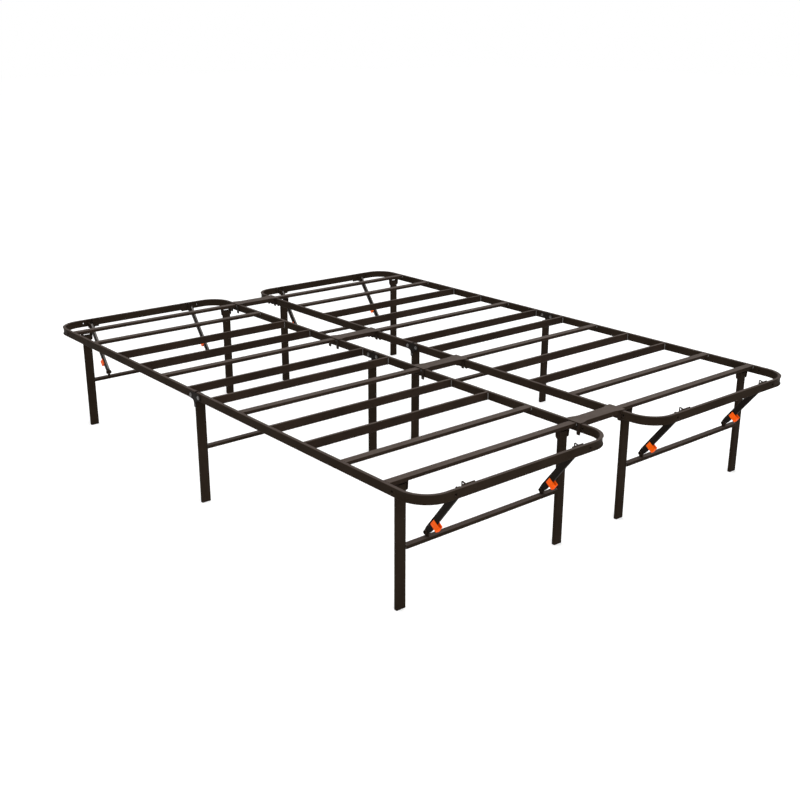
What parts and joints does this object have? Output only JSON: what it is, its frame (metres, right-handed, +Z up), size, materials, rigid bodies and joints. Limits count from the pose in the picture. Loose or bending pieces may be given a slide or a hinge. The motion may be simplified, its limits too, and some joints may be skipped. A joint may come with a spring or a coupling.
{
  "type": "folding metal bed frame",
  "caption": "Folding steel platform bed frame: slatted deck halves hinged over folding leg frames, with hooked braces, sliding safety clips and cross connectors.",
  "frame": {"origin": "on the floor, below the middle of the bed", "axes": "+X along the bed towards the foot end, +Y across the bed, +Z up"},
  "size_m": [2.032, 1.5334, 0.3584],
  "materials": {
    "coated_steel": "satin very dark brown powder coat",
    "coated_steel_brown": "satin very dark brown powder coat, seen from above",
    "coated_steel_dark": "satin near-black powder coat",
    "orange_plastic": "smooth moulded plastic"
  },
  "bodies": {
    "mid_frames": {"mid_legs_near": "coated_steel", "mid_legs_far": "coated_steel", "hinge_near_outer": "coated_steel_dark", "hinge_near_inner": "coated_steel_dark", "hinge_far_outer": "coated_steel_dark", "hinge_far_inner": "coated_steel_dark"},
    "foot_deck": {"rail_near_foot": "coated_steel", "rail_far_foot": "coated_steel", "slat_near_12": "coated_steel_brown", "slat_near_11": "coated_steel_brown", "slat_near_10": "coated_steel_brown", "slat_near_09": "coated_steel_brown", "slat_near_08": "coated_steel_brown", "slat_near_07": "coated_steel_brown", "slat_far_12": "coated_steel_brown", "slat_far_11": "coated_steel_brown", "slat_far_10": "coated_steel_brown", "slat_far_09": "coated_steel_brown", "slat_far_08": "coated_steel_brown", "slat_far_07": "coated_steel_brown", "connector_foot_end": "coated_steel_brown", "connector_foot_middle": "coated_steel_brown"},
    "end_legs_near_foot": {"end_legs_near_foot": "coated_steel"},
    "brace_near_foot_outer": {"brace_near_foot_outer": "coated_steel_dark"},
    "clip_near_foot_outer": {"clip_near_foot_outer": "orange_plastic"},
    "brace_near_foot_inner": {"brace_near_foot_inner": "coated_steel_dark"},
    "clip_near_foot_inner": {"clip_near_foot_inner": "orange_plastic"},
    "end_legs_far_foot": {"end_legs_far_foot": "coated_steel"},
    "brace_far_foot_outer": {"brace_far_foot_outer": "coated_steel_dark"},
    "clip_far_foot_outer": {"clip_far_foot_outer": "orange_plastic"},
    "brace_far_foot_inner": {"brace_far_foot_inner": "coated_steel_dark"},
    "clip_far_foot_inner": {"clip_far_foot_inner": "orange_plastic"},
    "head_deck": {"rail_near_head": "coated_steel", "rail_far_head": "coated_steel", "slat_near_01": "coated_steel_brown", "slat_near_02": "coated_steel_brown", "slat_near_03": "coated_steel_brown", "slat_near_04": "coated_steel_brown", "slat_near_05": "coated_steel_brown", "slat_near_06": "coated_steel_brown", "slat_far_01": "coated_steel_brown", "slat_far_02": "coated_steel_brown", "slat_far_03": "coated_steel_brown", "slat_far_04": "coated_steel_brown", "slat_far_05": "coated_steel_brown", "slat_far_06": "coated_steel_brown", "connector_head_end": "coated_steel_brown", "connector_head_middle": "coated_steel_brown"},
    "end_legs_near_head": {"end_legs_near_head": "coated_steel"},
    "brace_near_head_outer": {"brace_near_head_outer": "coated_steel_dark"},
    "clip_near_head_outer": {"clip_near_head_outer": "orange_plastic"},
    "brace_near_head_inner": {"brace_near_head_inner": "coated_steel_dark"},
    "clip_near_head_inner": {"clip_near_head_inner": "orange_plastic"},
    "end_legs_far_head": {"end_legs_far_head": "coated_steel"},
    "brace_far_head_outer": {"brace_far_head_outer": "coated_steel_dark"},
    "clip_far_head_outer": {"clip_far_head_outer": "orange_plastic"},
    "brace_far_head_inner": {"brace_far_head_inner": "coated_steel_dark"},
    "clip_far_head_inner": {"clip_far_head_inner": "orange_plastic"}
  },
  "joints": [
    {"name": "foot_deck_fold", "type": "hinge", "parent": "mid_frames", "child": "foot_deck", "pos_m": [0.013, 0, 0.3431], "axis": [0, 1, 0], "range_deg": [0, 85]},
    {"name": "legs_near_foot_fold", "type": "hinge", "parent": "foot_deck", "child": "end_legs_near_foot", "pos_m": [0.873, -0.421, 0.327], "axis": [0, 1, 0], "range_deg": [0, 90]},
    {"name": "brace_near_foot_outer_swing", "type": "hinge", "parent": "foot_deck", "child": "brace_near_foot_outer", "pos_m": [0.987, -0.6205, 0.3333], "axis": [0, 1, 0], "range_deg": [0, 53.1]},
    {"name": "clip_near_foot_outer_slide", "type": "slide", "parent": "brace_near_foot_outer", "child": "clip_near_foot_outer", "axis": [0.6095, 0, 0.7928], "range_m": [0, 0.027]},
    {"name": "brace_near_foot_inner_swing", "type": "hinge", "parent": "foot_deck", "child": "brace_near_foot_inner", "pos_m": [0.987, -0.2055, 0.3333], "axis": [0, 1, 0], "range_deg": [0, 53.1]},
    {"name": "clip_near_foot_inner_slide", "type": "slide", "parent": "brace_near_foot_inner", "child": "clip_near_foot_inner", "axis": [0.6095, 0, 0.7928], "range_m": [0, 0.027]},
    {"name": "legs_far_foot_fold", "type": "hinge", "parent": "foot_deck", "child": "end_legs_far_foot", "pos_m": [0.873, 0.421, 0.327], "axis": [0, 1, 0], "range_deg": [0, 90]},
    {"name": "brace_far_foot_outer_swing", "type": "hinge", "parent": "foot_deck", "child": "brace_far_foot_outer", "pos_m": [0.987, 0.6365, 0.3333], "axis": [0, 1, 0], "range_deg": [0, 53.1]},
    {"name": "clip_far_foot_outer_slide", "type": "slide", "parent": "brace_far_foot_outer", "child": "clip_far_foot_outer", "axis": [0.6095, 0, 0.7928], "range_m": [0, 0.027]},
    {"name": "brace_far_foot_inner_swing", "type": "hinge", "parent": "foot_deck", "child": "brace_far_foot_inner", "pos_m": [0.987, 0.2215, 0.3333], "axis": [0, 1, 0], "range_deg": [0, 53.1]},
    {"name": "clip_far_foot_inner_slide", "type": "slide", "parent": "brace_far_foot_inner", "child": "clip_far_foot_inner", "axis": [0.6095, 0, 0.7928], "range_m": [0, 0.027]},
    {"name": "head_deck_fold", "type": "hinge", "parent": "mid_frames", "child": "head_deck", "pos_m": [-0.03, 0, 0.3431], "axis": [0, -1, 0], "range_deg": [0, 85]},
    {"name": "legs_near_head_fold", "type": "hinge", "parent": "head_deck", "child": "end_legs_near_head", "pos_m": [-0.873, -0.421, 0.327], "axis": [0, -1, 0], "range_deg": [0, 90]},
    {"name": "brace_near_head_outer_swing", "type": "hinge", "parent": "head_deck", "child": "brace_near_head_outer", "pos_m": [-0.987, -0.6365, 0.3333], "axis": [0, -1, 0], "range_deg": [0, 53.1]},
    {"name": "clip_near_head_outer_slide", "type": "slide", "parent": "brace_near_head_outer", "child": "clip_near_head_outer", "axis": [-0.6095, 0, 0.7928], "range_m": [0, 0.027]},
    {"name": "brace_near_head_inner_swing", "type": "hinge", "parent": "head_deck", "child": "brace_near_head_inner", "pos_m": [-0.987, -0.2215, 0.3333], "axis": [0, -1, 0], "range_deg": [0, 53.1]},
    {"name": "clip_near_head_inner_slide", "type": "slide", "parent": "brace_near_head_inner", "child": "clip_near_head_inner", "axis": [-0.6095, 0, 0.7928], "range_m": [0, 0.027]},
    {"name": "legs_far_head_fold", "type": "hinge", "parent": "head_deck", "child": "end_legs_far_head", "pos_m": [-0.873, 0.421, 0.327], "axis": [0, -1, 0], "range_deg": [0, 90]},
    {"name": "brace_far_head_outer_swing", "type": "hinge", "parent": "head_deck", "child": "brace_far_head_outer", "pos_m": [-0.987, 0.6205, 0.3333], "axis": [0, -1, 0], "range_deg": [0, 53.1]},
    {"name": "clip_far_head_outer_slide", "type": "slide", "parent": "brace_far_head_outer", "child": "clip_far_head_outer", "axis": [-0.6095, 0, 0.7928], "range_m": [0, 0.027]},
    {"name": "brace_far_head_inner_swing", "type": "hinge", "parent": "head_deck", "child": "brace_far_head_inner", "pos_m": [-0.987, 0.2055, 0.3333], "axis": [0, -1, 0], "range_deg": [0, 53.1]},
    {"name": "clip_far_head_inner_slide", "type": "slide", "parent": "brace_far_head_inner", "child": "clip_far_head_inner", "axis": [-0.6095, 0, 0.7928], "range_m": [0, 0.027]}
  ],
  "couplings": [
    {"joint": "brace_near_foot_outer_swing", "follows": "legs_near_foot_fold", "ratio": 0.59},
    {"joint": "brace_near_foot_inner_swing", "follows": "legs_near_foot_fold", "ratio": 0.59},
    {"joint": "brace_far_foot_outer_swing", "follows": "legs_far_foot_fold", "ratio": 0.59},
    {"joint": "brace_far_foot_inner_swing", "follows": "legs_far_foot_fold", "ratio": 0.59},
    {"joint": "brace_near_head_outer_swing", "follows": "legs_near_head_fold", "ratio": 0.59},
    {"joint": "brace_near_head_inner_swing", "follows": "legs_near_head_fold", "ratio": 0.59},
    {"joint": "brace_far_head_outer_swing", "follows": "legs_far_head_fold", "ratio": 0.59},
    {"joint": "brace_far_head_inner_swing", "follows": "legs_far_head_fold", "ratio": 0.59}
  ]
}
